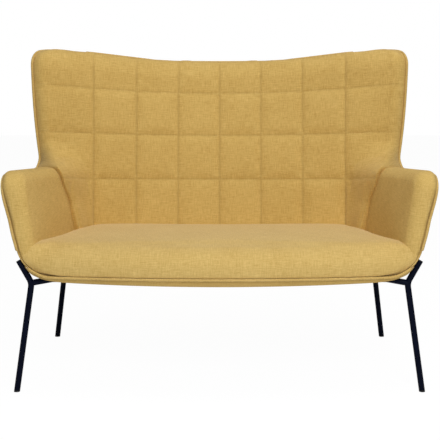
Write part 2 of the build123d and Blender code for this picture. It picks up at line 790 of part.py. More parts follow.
keep(bolt_washers, "bolt_washers")
keep(leg_bolts, "leg_bolts")
keep(tee_nuts, "tee_nuts")
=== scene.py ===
import json
from math import cos, pi, radians, sin, tan

import bpy
import numpy as np
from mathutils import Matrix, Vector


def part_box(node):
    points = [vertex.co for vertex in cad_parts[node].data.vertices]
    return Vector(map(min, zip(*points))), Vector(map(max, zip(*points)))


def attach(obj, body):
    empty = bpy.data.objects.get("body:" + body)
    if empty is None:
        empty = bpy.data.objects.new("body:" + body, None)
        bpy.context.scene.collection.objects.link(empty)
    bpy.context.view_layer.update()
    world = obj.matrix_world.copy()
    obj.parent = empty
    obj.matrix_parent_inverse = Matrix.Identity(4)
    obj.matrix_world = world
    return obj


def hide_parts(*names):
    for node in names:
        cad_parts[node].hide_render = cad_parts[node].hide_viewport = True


# Looks of a small winged sofa with a quilted back and splayed tube legs, in metres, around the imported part.
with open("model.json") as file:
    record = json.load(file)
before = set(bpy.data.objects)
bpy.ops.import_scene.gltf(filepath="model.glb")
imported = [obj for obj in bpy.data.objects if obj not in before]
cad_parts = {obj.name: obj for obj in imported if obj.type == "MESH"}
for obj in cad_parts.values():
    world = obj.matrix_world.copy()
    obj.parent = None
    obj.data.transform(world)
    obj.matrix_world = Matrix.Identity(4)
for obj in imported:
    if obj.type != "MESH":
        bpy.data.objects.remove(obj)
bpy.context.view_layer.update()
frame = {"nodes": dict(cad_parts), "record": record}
random = np.random.default_rng(7)

# Plan outlines of the upholstered shell and of the sitting hollow, at three heights
plan_heights = (0.357, 0.600, 1.040)
front_face = -0.395
shell_sizes = ((0.579, 0.636, 0.668), (0.695, 0.712, 0.802), (2.4, 1.7, 0.97), (0.13, 0.14, 0.15))
shell_side_angle = radians(4.1)
hollow_sizes = ((0.546, 0.573, 0.655), (0.542, 0.613, 0.740), (2.6, 1.6, 0.91), (0.095, 0.11, 0.12))
hollow_side_angle = radians(8.5)
underside_z = 0.357
lower_round = 0.105

# Side outline of the rim
arm_front_y = -0.345
arm_front_z = 0.670
notch_y = 0.144
arm_rear_z = 0.624
wing_top_y = 0.152
wing_top_z = 1.0035
wing_crest_y = 0.24
wing_crest_z = 1.0125
top_bend_y = 0.335
top_bend_z = 0.9725
top_back_z = 0.961
nose_round = 0.055
notch_round = 0.042
wing_round = 0.05
crest_round = 0.15
bend_round = 0.25
arm_edge_round = 0.034
arm_end_y = 0.1

# Piping, covers and the rolled seams beside them
cord_radius = 0.0042
cord_inset = 0.003
cord_cover = 0.0075
flap = 0.007
seam_curl = 0.0045
curl_width = 0.016
arm_crown = 0.0105
arm_tuck = 0.0035
arm_belly = (0.005, 0.002)
arm_belly_z = 0.525
arm_belly_height = 0.125
cover_thickness = 0.003
soft_foot_z = 0.4

# Quilting
seat_line = (0.1605, 0.400)
quilt_head = (0.3295, 0.987)
quilt_bows = (2.5, 0.915)
quilt_tilts = (radians(6), radians(16.4))
column_width = 0.141
pads_each_side = 3
row_shares = (0.0, 0.295, 0.543, 0.784, 1.0)
channel_depth = 0.0055
stitch_depth = 0.0012
stitch_width = 0.0036
level_seam = 0.7
pad_power = 4.5
roll_depth = 0.046
roll_share = 0.86
wing_thickness = 0.055
wing_bulge = 0.011
arm_side_thickness = 0.097
arm_side_lean = 0.05

# Seat and border
bow_radius = 3.4
bow_centre_y = front_face + bow_radius
seat_foot_z = 0.3625
seat_front_z = 0.376
seat_front_round = 0.062
seat_crown_z = 0.453
seat_rear_z = 0.42
seat_depth = 0.59
seat_rise = 0.006
seat_side_sink = 0.022
seat_sink_width = 0.035
seat_square_width = 0.06
seat_merge_z = 0.428
border_bottom_z = 0.338
border_depth = 0.014
border_stand = 0.003
border_lean = 0.55
border_level_half_width = 0.424
border_level_rise = 0.006
border_tip = (0.588, 0.392)
border_end = 0.018
seam_end_lift = 0.0034

# Cloth simulation of the padded covers
pad_pressure = 4.0
cloth_frames = 20
quilt_swell = 0.0016
quilt_spare = 0.006
seat_swell = 0.005
seat_spare = 0.004
arm_swell = 0.003
arm_spare = 0.006


def between(height, low, middle, high):
    """Value at a height on the parabola through the values at the three plan heights."""
    a, b, c = plan_heights
    return (low * (height - b) * (height - c) / ((a - b) * (a - c))
            + middle * (height - a) * (height - c) / ((b - a) * (b - c))
            + high * (height - a) * (height - b) / ((c - a) * (c - b)))


class Form:
    """U-shaped plan outline whose sizes follow the height: leaning sides, round corners and a bowed back."""

    def __init__(self, sizes, side_angle, belly=None):
        self.sizes = sizes
        self.turn = side_angle
        self.belly = belly

    def plan(self, z, inset):
        """Side line, corner circle and back circle of the outline at a height, smaller by the inset."""
        half, depth, bow, corner = (between(z, *three) for three in self.sizes)
        if self.belly:
            place = np.clip((z - arm_belly_z) / arm_belly_height, -1, 1)
            half = half + np.where(place > 0, *self.belly) * np.sin(pi * place)
        side_x = half - inset * cos(self.turn)
        side_y = front_face - inset * sin(self.turn)
        middle_y = front_face + depth - bow
        back_radius = bow - inset
        radius = corner - inset
        across = side_x - cos(self.turn) * radius
        along = side_y - sin(self.turn) * radius - middle_y
        half_way = along * cos(self.turn) - across * sin(self.turn)
        rest = across ** 2 + along ** 2 - (back_radius - radius) ** 2
        step = np.sqrt(half_way ** 2 - rest) - half_way
        corner_x = across - sin(self.turn) * step
        corner_y = middle_y + along + cos(self.turn) * step
        return side_x, side_y, corner_x, corner_y, radius, middle_y, back_radius

    def half_width(self, y, z, inset=0.0):
        """Half width at a depth: on the side line, then on the corner circle, then on the back circle."""
        side_x, side_y, corner_x, corner_y, radius, middle_y, back_radius = self.plan(z, inset)
        side = side_x - (y - side_y) * tan(self.turn)
        corner = corner_x + np.sqrt(np.maximum(radius ** 2 - (y - corner_y) ** 2, 0))
        back = np.sqrt(np.maximum(back_radius ** 2 - (y - middle_y) ** 2, 0))
        last = np.arctan2(corner_y - middle_y, corner_x)
        behind = np.where(y > corner_y + radius * np.sin(last), back, corner)
        return np.where(y < corner_y + radius * sin(self.turn), side, behind)

    def station(self, y, z):
        """Place along the outline: 0 to 1 on the side line, 1 to 2 on the corner and 2 to 3 on the back."""
        _, _, corner_x, corner_y, radius, middle_y, _ = self.plan(z, 0.0)
        side_end = corner_y + radius * sin(self.turn)
        last = np.arctan2(corner_y - middle_y, corner_x)
        angle = np.arcsin(np.clip((y - corner_y) / radius, -1, 1))
        on_side = (y - arm_front_y) / (side_end - arm_front_y)
        return np.where(y < side_end, on_side, 1 + (angle - self.turn) / (last - self.turn))

    def point(self, station, z, inset=0.0):
        """Plan point and outward angle at a station of the outline."""
        side_x, side_y, corner_x, corner_y, radius, middle_y, back_radius = self.plan(z, inset)
        side_end = corner_y + radius * sin(self.turn)
        last = np.arctan2(corner_y - middle_y, corner_x)
        y = arm_front_y + (side_end - arm_front_y) * np.clip(station, 0, 1)
        x = side_x - (y - side_y) * tan(self.turn)
        angle = self.turn + (last - self.turn) * np.clip(station - 1, 0, 1)
        x = np.where(station > 1, corner_x + radius * np.cos(angle), x)
        y = np.where(station > 1, corner_y + radius * np.sin(angle), y)
        angle = np.where(station > 2, last + (pi / 2 - last) * np.clip(station - 2, 0, 1), angle)
        x = np.where(station > 2, back_radius * np.cos(angle), x)
        y = np.where(station > 2, middle_y + back_radius * np.sin(angle), y)
        return x, y, angle


shell = Form(shell_sizes, shell_side_angle, arm_belly)
hollow = Form(hollow_sizes, hollow_side_angle)


def resampled(line, count):
    """Points of a polyline at an even spacing, with what each point carries."""
    length = np.concatenate(([0], np.cumsum(np.hypot(*np.diff(line[:, :2], axis=0).T))))
    places = np.linspace(0, length[-1], count)
    return np.stack([np.interp(places, length, column) for column in line.T], axis=1)


def rounded_outline(corners, radii, count, arc_steps=24):
    """Points and outward normals of a polyline whose corners are arcs, walked clockwise."""
    corners = np.array(corners)
    runs = np.diff(corners, axis=0)
    units = runs / np.hypot(*runs.T)[:, None]
    left = np.stack((-units[:, 1], units[:, 0]), axis=1)
    pieces = [np.hstack((corners[:1], left[:1]))]
    for place, radius in enumerate(radii):
        before, after = units[place], units[place + 1]
        turn = np.arctan2(before[0] * after[1] - before[1] * after[0], before @ after)
        side = -np.sign(turn)
        start = corners[place + 1] - before * radius * tan(abs(turn) / 2)
        centre = start - left[place] * radius * side
        angles = np.arctan2(left[place][1], left[place][0]) + turn * np.linspace(0, 1, arc_steps)
        normals = np.stack((np.cos(angles), np.sin(angles)), axis=1)
        pieces.append(np.hstack((centre + side * radius * normals, normals)))
    pieces.append(np.hstack((corners[-1:], left[-1:])))
    return resampled(np.vstack(pieces), count)


rim_back_y = 0.43
rim = rounded_outline(
    ((arm_front_y, soft_foot_z - 0.06), (arm_front_y, arm_front_z), (notch_y, arm_rear_z), (wing_top_y, wing_top_z),
     (wing_crest_y, wing_crest_z), (top_bend_y, top_bend_z), (rim_back_y, top_back_z)),
    (nose_round, notch_round, wing_round, crest_round, bend_round), 900)
nose_start = int(np.argmax(rim[:, 0] > arm_front_y + 1e-6))
arm_end = int(np.argmax(rim[:, 0] > arm_end_y))
wing_tip = int(np.argmax((rim[:, 2] > -0.5) & (rim[:, 1] > arm_front_z + nose_round)))
wing_end = int(np.argmax((rim[:, 2] > 0.3) & (rim[:, 1] > arm_front_z + nose_round)))


def smooth(share):
    """Smooth step from 0 to 1."""
    share = np.clip(share, 0, 1)
    return share * share * (3 - 2 * share)


def arm_share(y, z):
    """1 round the arm's front and top, 0 towards the seat and the notch."""
    return smooth((z - 0.47) / 0.1) * smooth((notch_y - 0.02 - y) / 0.11) * (z < arm_front_z + nose_round)


# The piping lies on the rim, and below it where the arm is crowned
seam = rim.copy()
seam[:, :2] -= rim[:, 2:] * arm_crown * arm_share(rim[:, 0], rim[:, 1])[:, None]


def seam_height(y):
    """Height of the piping's seam over a depth behind the arm's front."""
    return np.interp(y, seam[nose_start - 1:, 0], seam[nose_start - 1:, 1])


def rim_height(y):
    """Height of the rim over a depth behind the arm's front."""
    return np.interp(y, rim[nose_start - 1:, 0], rim[nose_start - 1:, 1])


def seam_distance(y, z):
    """Distance to the piping's seam in the side view."""
    flat_y, flat_z = np.ravel(y), np.ravel(z)
    line = seam[::2]
    nearest = np.hypot(flat_y[:, None] - line[:, 0], flat_z[:, None] - line[:, 1]).min(axis=1)
    return nearest.reshape(np.shape(y))


def curl(distance):
    """How far a cover turns in beside a seam: most at the seam, none at the curl's width."""
    return seam_curl * np.clip(1 - distance / curl_width, 0, 1) ** 2


def bisected(function, low, high, rounds=40):
    """Root of a rising function, for a whole array at once."""
    for _ in range(rounds):
        middle = (low + high) / 2
        below = function(middle) < 0
        low, high = np.where(below, middle, low), np.where(below, high, middle)
    return (low + high) / 2


def top_height(station, inset=0.0):
    """Height of the top edge at a station of the shell, where the shell meets the rim."""
    low = np.full(np.shape(station), 0.8)
    return bisected(lambda z: z - rim_height(shell.point(station, z, inset)[1]), low, low + 0.3)


def crowded(count, ends=0.75):
    """Shares from 0 to 1 that crowd towards both ends."""
    even = np.linspace(0, 1, count)
    return even * (1 - ends) + ends * (1 - np.cos(pi * even)) / 2


def steps_along(points, axis):
    """Running length along an axis of a grid of points."""
    step = np.linalg.norm(np.diff(points, axis=axis), axis=-1)
    start = np.zeros_like(np.take(step, [0], axis=axis))
    return np.cumsum(np.concatenate((start, step), axis=axis), axis=axis)


def grid_mesh(name, points, material, seam=None, cloth=None, round_columns=False, flip=False,
              thickness=0.0, levels=0):
    """Mesh of a grid of points in rows and columns, with a cloth map in metres.
    Unless it is given, the map is the length across each row and the length up the middle column."""
    rows, columns = points.shape[:2]
    index = np.arange(rows * columns).reshape(rows, columns)
    if round_columns:
        index = np.concatenate((index, index[:, :1]), axis=1)
    faces = np.stack((index[:-1, :-1], index[:-1, 1:], index[1:, 1:], index[1:, :-1]), axis=-1).reshape(-1, 4)
    if flip:
        faces = faces[:, ::-1]
    mesh = bpy.data.meshes.new(name)
    mesh.from_pydata(points.reshape(-1, 3).tolist(), [], faces.tolist())
    mesh.polygons.foreach_set("use_smooth", np.ones(len(faces), bool))
    if cloth is None:
        across = steps_along(points, 1)
        across -= across[:, columns // 2][:, None]
        along = np.broadcast_to(steps_along(points, 0)[:, columns // 2][:, None], across.shape)
        cloth = np.stack((across, along), axis=-1)
    flat = cloth.reshape(-1, 2)
    layer = mesh.uv_layers.new(name="cloth")
    layer.data.foreach_set("uv", flat[faces.ravel()].ravel().astype(np.float32))
    # The 'seam' attribute carries painted shade for the weave: it is higher along stitch grooves and creases.
    painted_shade_marks = mesh.attributes.new("seam", "FLOAT", "POINT")
    painted_shade_marks.data.foreach_set("value", (np.zeros(rows * columns) if seam is None else seam).ravel().astype(np.float32))
    mesh.materials.append(material)
    mesh.validate()
    mesh.update()
    piece = bpy.data.objects.new(name, mesh)
    bpy.context.scene.collection.objects.link(piece)
    if thickness:
        wall = piece.modifiers.new("wall", "SOLIDIFY")
        wall.thickness = thickness
        wall.offset = -1
    if levels:
        finer = piece.modifiers.new("finer", "SUBSURF")
        finer.levels = levels
        finer.render_levels = levels
    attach(piece, "root")
    return piece


def grid_faces(rows, columns):
    """Corner numbers of the quads between the points of a grid."""
    index = np.arange(rows * columns).reshape(rows, columns)
    return np.stack((index[:-1, :-1], index[:-1, 1:], index[1:, 1:], index[1:, :-1]), axis=-1).reshape(-1, 4)


def swollen(points, free, most, spare, outward):
    """Grid of points after a cloth simulation. The cover has some spare length, is held where free is 0, and
    pressure swells it outward. Each point moves by its simulated step, eased so that it stays below the most."""
    scene = bpy.context.scene
    faces = grid_faces(*points.shape[:2])[:, ::outward]
    mesh = bpy.data.meshes.new("stretched_cover")
    mesh.from_pydata(points.reshape(-1, 3).tolist(), [], faces.tolist())
    cover = bpy.data.objects.new("stretched_cover", mesh)
    scene.collection.objects.link(cover)
    held = cover.vertex_groups.new(name="held")
    held.add(np.flatnonzero(free.ravel() < 1e-3).tolist(), 1.0, "REPLACE")
    swell = cover.modifiers.new("swell", "CLOTH")
    swell.settings.vertex_group_mass = "held"
    swell.settings.use_pressure = True
    swell.settings.uniform_pressure_force = pad_pressure
    swell.settings.effector_weights.gravity = 0
    swell.settings.shrink_min = -spare
    swell.collision_settings.use_collision = False
    swell.point_cache.frame_start = 1
    swell.point_cache.frame_end = cloth_frames
    for step in range(1, cloth_frames + 1):
        scene.frame_set(step)
    settled = cover.evaluated_get(bpy.context.evaluated_depsgraph_get()).data
    places = np.empty(points.size, np.float32)
    settled.vertices.foreach_get("co", places)
    scene.frame_set(1)
    bpy.data.objects.remove(cover)
    bpy.data.meshes.remove(mesh)
    move = places.reshape(points.shape) - points
    length = np.linalg.norm(move, axis=-1, keepdims=True) + 1e-9
    return points + move / length * most * np.tanh(length / most) * free[..., None]


def mirrored(points):
    """The same points on the other side of the sofa."""
    return points * np.array((-1.0, 1.0, 1.0))


def both_halves(half, painted_shade_marks=None):
    """Whole grid from its right half, whose first column lies on the middle plane."""
    whole = np.concatenate((mirrored(half[:, :0:-1]), half), axis=1)
    return whole if painted_shade_marks is None else (whole, np.concatenate((painted_shade_marks[:, :0:-1], painted_shade_marks), axis=1))


class Value:
    """A number in a material. Arithmetic on it adds math nodes."""

    def __init__(self, shader, socket):
        self.shader = shader
        self.socket = socket

    def _math(self, operation, *values):
        return self.shader.node("Math", {"operation": operation}, *values)

    def __add__(self, other):
        return self._math("ADD", self, other)

    def __sub__(self, other):
        return self._math("SUBTRACT", self, other)

    def __rsub__(self, other):
        return self._math("SUBTRACT", other, self)

    def __mul__(self, other):
        return self._math("MULTIPLY", self, other)

    def __pow__(self, other):
        return self._math("POWER", self, other)

    __radd__ = __add__
    __rmul__ = __mul__


class Shader:
    """A material's node tree with one surface shader."""

    def __init__(self, name):
        self.material = bpy.data.materials.new(name)
        self.material.use_nodes = True
        self.tree = self.material.node_tree
        self.surface = self.tree.nodes["Principled BSDF"]

    def node(self, kind, settings=None, *values, output=0, **named):
        """Add a node, make its settings, fill its sockets in order or by name, and return one output."""
        made = self.tree.nodes.new("ShaderNode" + kind)
        for setting, value in (settings or {}).items():
            setattr(made, setting, value)
        for place, value in [*enumerate(values), *named.items()]:
            self.fill(made.inputs[place if isinstance(place, int) else place.replace("_", " ")], value)
        return Value(self, made.outputs[output])

    def fill(self, socket, value):
        if isinstance(value, Value):
            self.tree.links.new(value.socket, socket)
        else:
            socket.default_value = value

    def set(self, **named):
        """Fill the surface shader's sockets by name."""
        for place, value in named.items():
            self.fill(self.surface.inputs[place.replace("_", " ")], value)
        return self.material

    def mix(self, factor, first, second, blend="MIX"):
        """Colour between two colours."""
        made = self.tree.nodes.new("ShaderNodeMix")
        made.data_type = "RGBA"
        made.blend_type = blend
        for place, value in ((0, factor), (6, first), (7, second)):
            self.fill(made.inputs[place], value)
        return Value(self, made.outputs[2])


def woven(name, dark, light, thread=0.0014, crease_shade_strength=0.45, sheen=0.2):
    """Heathered plain weave: long slubs along both threads, fine over-and-under relief, and painted shade where the
    'seam' attribute marks stitch grooves and creases.
    """
    shader = Shader(name)
    cloth = shader.node("UVMap", {"uv_map": "cloth"})
    spot = shader.node("TexCoord", output=3)

    def slubs(across, along, detail):
        place = shader.node("Mapping", None, Vector=cloth, Scale=(across, along, 1.0))
        return shader.node("TexNoise", None, Vector=place, Scale=1.0, Detail=detail, Roughness=0.6)

    warp = slubs(360.0, 34.0, 3.0)
    weft = slubs(34.0, 360.0, 3.0)
    specks = slubs(300.0, 300.0, 1.0)
    patches = shader.node("TexNoise", None, Vector=spot, Scale=9.0, Detail=3.0)
    heather = (warp - 0.5) * 1.1 + (weft - 0.5) * 1.1 + (specks - 0.5) * 0.5 + (patches - 0.5) * 0.35 + 0.5
    colour = shader.mix(shader.node("Clamp", None, heather), (*dark, 1.0), (*light, 1.0))
    # Painted shade: the 'seam' attribute mixes the weave towards a darker shade colour along stitch grooves and
    # creases.
    seam = shader.node("Attribute", {"attribute_name": "seam"}, output=2)
    shade = tuple(channel * (1 - crease_shade_strength) for channel in dark)
    colour = shader.mix(shader.node("Clamp", None, seam * 0.5), colour, (*shade, 1.0))
    threads = []
    for turned in (0.0, pi / 2):
        place = shader.node("Mapping", None, Vector=cloth, Rotation=(0.0, 0.0, turned))
        threads.append(shader.node("TexWave", {"wave_type": "BANDS", "bands_direction": "X"}, Vector=place,
                                   Scale=0.32 / thread, Distortion=0.6, Detail=1.0))
    relief = threads[0] * threads[1] + (warp + weft) * 0.7
    bump = shader.node("Bump", None, Strength=0.35, Distance=0.0006, Height=relief)
    roughness = 0.86 + (specks - 0.5) * 0.12
    return shader.set(Base_Color=colour, Roughness=roughness, Normal=bump, Sheen_Weight=sheen,
                      Sheen_Roughness=0.5, Sheen_Tint=(1.0, 0.9, 0.7, 1.0), Specular_IOR_Level=0.2)


def coated(name, colour, roughness, metallic=0.0, grain=900.0, relief=0.00008, coat=0.0, specular=0.5):
    """Finished metal or plastic: fine orange-peel relief, slight colour drift and paler rubbed spots."""
    shader = Shader(name)
    spot = shader.node("TexCoord", output=3)
    fine = shader.node("TexNoise", None, Vector=spot, Scale=grain, Detail=2.0)
    broad = shader.node("TexNoise", None, Vector=spot, Scale=14.0, Detail=4.0)
    pale = tuple(min(channel * 1.7, 1.0) for channel in colour)
    tone = shader.mix(shader.node("Clamp", None, (broad - 0.45) * 2.2), (*colour, 1.0), (*pale, 1.0))
    bump = shader.node("Bump", None, Strength=0.4, Distance=relief, Height=fine)
    return shader.set(Base_Color=tone, Roughness=roughness + (broad - 0.5) * 0.16, Metallic=metallic,
                      Normal=bump, Coat_Weight=coat, Specular_IOR_Level=specular)


def timber(name, dark, light, plies=0.0):
    """Planed wood: long stretched grain, and level plies where the panel is glued up."""
    shader = Shader(name)
    spot = shader.node("TexCoord", output=3)
    stretched = shader.node("Mapping", None, Vector=spot, Scale=(6.0, 90.0, 160.0))
    grain = shader.node("TexNoise", None, Vector=stretched, Scale=1.0, Detail=5.0, Distortion=0.4)
    tone = shader.mix(grain, (*dark, 1.0), (*light, 1.0))
    if plies:
        level = shader.node("TexWave", {"wave_type": "BANDS", "bands_direction": "Z"}, Vector=spot, Scale=plies)
        tone = shader.mix(level * 0.35, tone, (*dark, 1.0))
    bump = shader.node("Bump", None, Strength=0.3, Distance=0.0003, Height=grain)
    return shader.set(Base_Color=tone, Roughness=0.62 + (grain - 0.5) * 0.2, Normal=bump)


def thin_cloth(name, dark, light, scale):
    """Fine black or pale cloth with a crossed relief on object coordinates."""
    shader = Shader(name)
    spot = shader.node("TexCoord", output=3)
    crossed = shader.node("TexChecker", None, Vector=spot, Scale=scale, output=1)
    fibres = shader.node("TexNoise", None, Vector=spot, Scale=260.0, Detail=3.0)
    tone = shader.mix(shader.node("Clamp", None, fibres * 0.8 + crossed * 0.2), (*dark, 1.0), (*light, 1.0))
    bump = shader.node("Bump", None, Strength=0.3, Distance=0.0003, Height=fibres + crossed * 0.3)
    return shader.set(Base_Color=tone, Roughness=0.9, Normal=bump, Sheen_Weight=0.1)


ochre_dark = (0.46, 0.275, 0.06)
ochre_light = (0.72, 0.5, 0.165)
weave = woven("ochre_weave", ochre_dark, ochre_light)
# Paler copies of the ochre weave for the seat and the arms are painted light: they stand in for the stronger light on
# the seat and the arm fronts. The seat copy also gets more sheen and the arm copy less, which keeps the inner arm
# walls darker.
seat_weave_painted_lit = woven("ochre_weave_painted_lit_seat", (0.49, 0.305, 0.075), (0.76, 0.55, 0.2), sheen=0.32)
arm_weave_painted_lit = woven("ochre_weave_painted_lit_arms", (0.48, 0.295, 0.07), (0.75, 0.535, 0.185), sheen=0.06)
piping_weave = woven("ochre_piping", (0.45, 0.275, 0.06), (0.76, 0.54, 0.2), thread=0.001)
finishes = {
    "black_steel": coated("black_powder_coat", (0.0011, 0.0025, 0.0105), 0.45, specular=0.07),
    "zinc_steel": coated("zinc_plating", (0.6, 0.59, 0.55), 0.34, metallic=1.0),
    "black_plastic": coated("black_plastic", (0.004, 0.004, 0.005), 0.5, grain=1400.0, specular=0.25),
    "plywood": timber("birch_plywood", (0.45, 0.29, 0.15), (0.74, 0.56, 0.36), plies=110.0),
    "beech": timber("beech", (0.42, 0.24, 0.12), (0.68, 0.46, 0.28)),
    "webbing": thin_cloth("webbing", (0.03, 0.028, 0.026), (0.1, 0.095, 0.09), 420.0),
    "dust_cloth": thin_cloth("dust_cloth", (0.012, 0.012, 0.013), (0.045, 0.045, 0.047), 700.0),
    "padding": thin_cloth("padding", (0.72, 0.66, 0.5), (0.9, 0.87, 0.76), 150.0),
    "ochre_weave": weave,
    "ochre_piping": piping_weave,
}
for part in frame["record"]["subparts"]:
    node = frame["nodes"][part["node"]]
    node.data.materials.clear()
    node.data.materials.append(finishes[part["material_slot"]])


def side_width(y, z, inset=0.0):
    """Half width of the shell at its side, with the round of its lower edge."""
    centre_z = underside_z + lower_round
    lean = np.arctan((shell.half_width(y, centre_z + 0.01) - shell.half_width(y, centre_z - 0.01)) / 0.02)
    centre_x = shell.half_width(y, centre_z) - lower_round / np.cos(lean)
    low = centre_x + np.sqrt(np.maximum((lower_round - inset) ** 2 - (centre_z - z) ** 2, 0))
    return np.where(z < centre_z - lower_round * np.sin(lean), low, shell.half_width(y, z, inset))


def lower_round_rows(place_at, count=9, inward=0.014):
    """Rows from the wall's foot round the lower edge to the underside.
    A row is the centre of the round plus its radius turned from the wall's own lean to straight down."""
    centre_z = underside_z + lower_round
    x_low, y_low, _ = place_at(centre_z - 0.01, 0.0)
    x_high, y_high, angle = place_at(centre_z + 0.01, 0.0)
    slope = ((x_high - x_low) * np.cos(angle) + (y_high - y_low) * np.sin(angle)) / 0.02
    lean = np.arctan(slope)
    x, y, angle = place_at(centre_z, lower_round / np.cos(lean))
    turns = -lean + (-pi / 2 + lean) * np.linspace(0, 1, count)[:, None]
    out = lower_round * np.cos(turns)
    rows = np.stack((x + out * np.cos(angle), y + out * np.sin(angle),
                     centre_z + lower_round * np.sin(turns)), axis=-1)
    last = rows[-1] - np.stack((np.cos(angle), np.sin(angle), np.zeros_like(angle)), axis=-1) * inward
    return np.concatenate((rows, last[None]))


def outside_arm():
    """Right outside arm cover: wall rows at steady depths from the rim to the lower round, then the round."""
    depths = arm_front_y + (arm_end_y - 0.0002 - arm_front_y) * crowded(34)

    def place_at(z, inset):
        return shell.half_width(depths, z, inset), depths, np.full_like(depths, shell_side_angle)

    rounded = lower_round_rows(place_at)
    foot = rounded[0, :, 2]
    share = (arm_end_y - depths) / (arm_end_y - arm_front_y)
    nose_y, nose_z = seam[nose_start - 1, :2]
    top = np.where(share == share[0], nose_z, seam_height(depths + (nose_y - arm_front_y) * share))
    z = foot + (top - foot) * crowded(26)[::-1, None]
    y = depths + share * (np.interp(z, seam[:nose_start, 1], seam[:nose_start, 0]) - arm_front_y)
    near = seam_distance(y, z)
    tuck = arm_tuck * arm_share(y, z) * smooth(1 - near / 0.03)
    x = shell.half_width(y, z, curl(near) + tuck)
    wall = np.stack((x, y, z), axis=-1)
    front = curl(depths - arm_front_y)
    rounded[..., 0] -= front
    return np.concatenate((wall, rounded[1:]))


def outside_back():
    """Right half of the outside back cover, from the middle plane to the wing's front edge.
    Stations and heights are spread evenly between the four borders of the sheet."""
    start = resampled(np.array(((arm_end_y + 0.0003, 0.44), (arm_end_y + 0.0003, rim_height(arm_end_y + 0.0003)))), 12)
    border = resampled(np.vstack((start, rim[arm_end + 1:wing_tip, :2])), 400)
    rise = crowded(46, 0.6)
    place = rise * (len(border) - 1)
    side_y = np.interp(place, np.arange(len(border)), border[:, 0])
    side_z = np.interp(place, np.arange(len(border)), border[:, 1])
    across = crowded(56, 0.5)
    side_station = shell.station(side_y, side_z)
    station = side_station[:, None] + (3 - side_station[:, None]) * across
    top = top_height(station[-1])

    def place_at(z, inset):
        return shell.point(station[0], z, inset)

    rounded = lower_round_rows(place_at)
    foot = rounded[0, :, 2]
    share = ((side_z - side_z[0]) / (side_z[-1] - side_z[0]))[:, None]
    z = side_z[:, None] + (top - top[0]) * share + (foot - side_z[0]) * (1 - share)
    x, y, _ = shell.point(station, z, 0.0)
    inset = curl(seam_distance(y, z)) * (z > arm_rear_z - 0.02)
    x, y, _ = shell.point(station, z, inset)
    wall = np.stack((x, y, z), axis=-1)
    half = np.concatenate((wall[::-1], rounded[1:]))[:, ::-1]
    return both_halves(half)


def tube_along(path, out, radius, sides=14):
    """Round tube: circles across the path, from the outward direction and the one square to it."""
    along = np.gradient(path, axis=0)
    along /= np.linalg.norm(along, axis=1)[:, None]
    side = np.cross(along, out)
    side /= np.linalg.norm(side, axis=1)[:, None]
    up = np.cross(side, along)
    turns = np.linspace(0, 2 * pi, sides, endpoint=False)[None, :, None]
    return path[:, None] + radius * (np.cos(turns) * up[:, None] + np.sin(turns) * side[:, None])


def capped(tube):
    """Tube with both ends drawn in to a point."""
    first = np.broadcast_to(tube[:1].mean(axis=1, keepdims=True), tube[:1].shape)
    last = np.broadcast_to(tube[-1:].mean(axis=1, keepdims=True), tube[-1:].shape)
    return np.concatenate((first, tube, last))


def rim_cord():
    """Cord of the piping from the underside up the arm, over notch and wing and along the top, and back."""
    inset = cord_inset
    centre_z = underside_z + lower_round
    front = np.full(1, arm_front_y + inset)

    def place_at(z, extra):
        return shell.half_width(front, z, inset + extra), front, np.full(1, shell_side_angle)

    low = lower_round_rows(place_at, 14, 0.03)[::-1, 0]
    low[:, 2] = np.maximum(low[:, 2], underside_z + inset)
    low[:, 0] -= 0.001
    above = seam[(np.arange(len(seam)) < wing_tip) & (seam[:, 1] > low[-1, 2] + 0.002)]
    line = above[:, :2] - above[:, 2:] * inset
    tuck = inset + arm_tuck * arm_share(line[:, 0], line[:, 1])
    side = np.stack((shell.half_width(line[:, 0], line[:, 1], tuck), line[:, 0], line[:, 1]), axis=-1)
    first = shell.station(line[-1, 0], line[-1, 1])
    station = np.linspace(first, 3, 150)[1:]
    top = top_height(station, inset) - inset * 1.04
    x, y, _ = shell.point(station, top, inset)
    half = np.concatenate((low, side[::2], np.stack((x, y, top), axis=-1)))
    half = half[np.concatenate(([True], np.linalg.norm(np.diff(half, axis=0), axis=1) > 1e-4))]
    path = np.concatenate((half, mirrored(half[-2::-1])))
    out = path - np.array((0.0, -0.1, 0.0))
    out[:, 2] = 0
    return capped(tube_along(path, out / np.linalg.norm(out, axis=1)[:, None], cord_radius))


def ring_y(x, behind):
    """Depth of the bowed front at a half width, a distance behind its face."""
    return bow_centre_y - np.sqrt((bow_radius - behind) ** 2 - x ** 2)


def front_seam_height(x):
    """Height of the seam along the front: level, then up the lower round of the shell."""
    flat = side_width(np.full(1, arm_front_y), underside_z + lower_round)[0] - lower_round
    beyond = np.clip(np.abs(x) - flat, 0, lower_round * 0.985)
    lift = seam_end_lift * smooth((np.abs(x) - 0.5) / 0.05)
    return underside_z + lower_round - np.sqrt(lower_round ** 2 - beyond ** 2) + lift


def front_cord():
    """Cord of the piping along the front seam, bowed in plan and raised at both ends."""
    x = (2 * crowded(160, 0.3) - 1) * (shell_sizes[0][0] - 0.018)
    path = np.stack((x, ring_y(x, 0.0008), front_seam_height(x) + 0.002), axis=-1)
    out = np.stack((x / bow_radius, np.full_like(x, -1.0), np.zeros_like(x)), axis=-1)
    return capped(tube_along(path, out, cord_radius))


def border_low(x):
    """Height of the border's lower edge: an arc over the level stretch, then a steeper one up to its tip."""
    level = border_bottom_z + border_level_rise * (np.abs(x) / border_level_half_width) ** 2
    beyond = np.clip((np.abs(x) - border_level_half_width) / (border_tip[0] - border_level_half_width), 0, 1)
    rise = border_tip[1] - border_bottom_z - border_level_rise
    return level * (beyond == 0) + (beyond > 0) * (border_bottom_z + border_level_rise + rise
                                                   * (0.12 * beyond + 0.88 * beyond ** 3.3))


